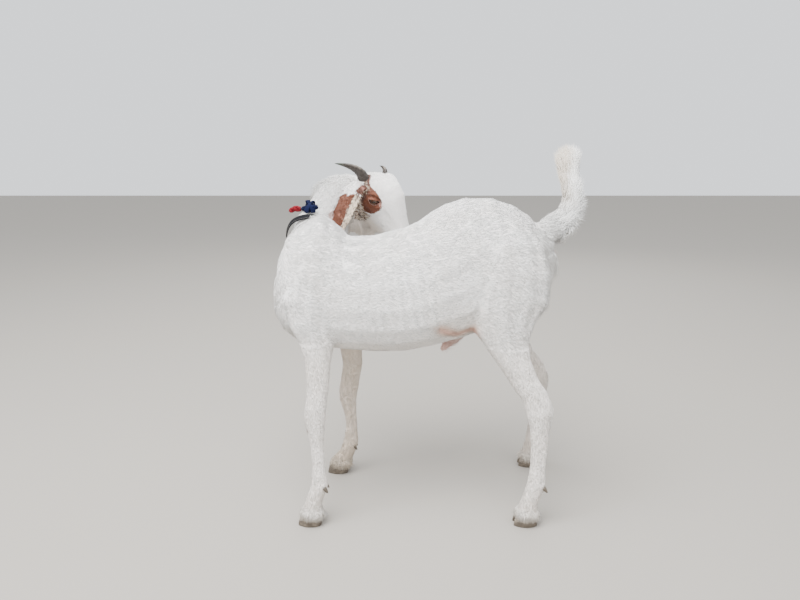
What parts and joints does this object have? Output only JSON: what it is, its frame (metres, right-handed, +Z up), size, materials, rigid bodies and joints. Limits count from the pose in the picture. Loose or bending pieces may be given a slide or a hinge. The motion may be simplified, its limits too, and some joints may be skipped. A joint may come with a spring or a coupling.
{
  "type": "standing goat",
  "caption": "Young white short-coated goat with drooping ears, upright tail and cloth collar, standing still with its head turned back over its flank",
  "frame": {"origin": "middle of the bounding box at floor level, under the soles of the claws", "axes": "+Z up, the goat faces -X, its left side is towards -Y"},
  "size_m": [0.7054, 0.4152, 0.8567],
  "materials": {
    "coat": "short white hair over hide",
    "ear": "short chestnut hair, speckled with white",
    "bare_skin": "bare pink skin",
    "horn": "grey-brown ringed horn",
    "claw": "dull grey-brown hoof horn",
    "eye": "wet and glossy",
    "strap": "black, slightly worn",
    "knot_cloth": "knotted blue cloth",
    "ribbon": "red cloth"
  },
  "bodies": {
    "root": {"dewclaw_fore_left_outer": "claw", "claw_fore_left_outer": "claw", "dewclaw_fore_left_inner": "claw", "claw_fore_left_inner": "claw", "leg_fore_left": "coat", "dewclaw_fore_right_inner": "claw", "claw_fore_right_inner": "claw", "dewclaw_fore_right_outer": "claw", "claw_fore_right_outer": "claw", "leg_fore_right": "coat", "dewclaw_hind_left_outer": "claw", "claw_hind_left_outer": "claw", "dewclaw_hind_left_inner": "claw", "claw_hind_left_inner": "claw", "leg_hind_left": "coat", "dewclaw_hind_right_inner": "claw", "claw_hind_right_inner": "claw", "dewclaw_hind_right_outer": "claw", "claw_hind_right_outer": "claw", "leg_hind_right": "coat", "eye_right": "eye", "eye_left": "eye", "horn_right": "horn", "horn_left": "horn", "ear_right": "ear", "ear_left": "ear", "head": "coat", "tail": "coat", "sheath": "bare_skin", "collar_strap": "strap", "collar_knot": "knot_cloth", "collar_ribbon": "ribbon", "neck": "coat", "trunk": "coat"}
  },
  "joints": []
}
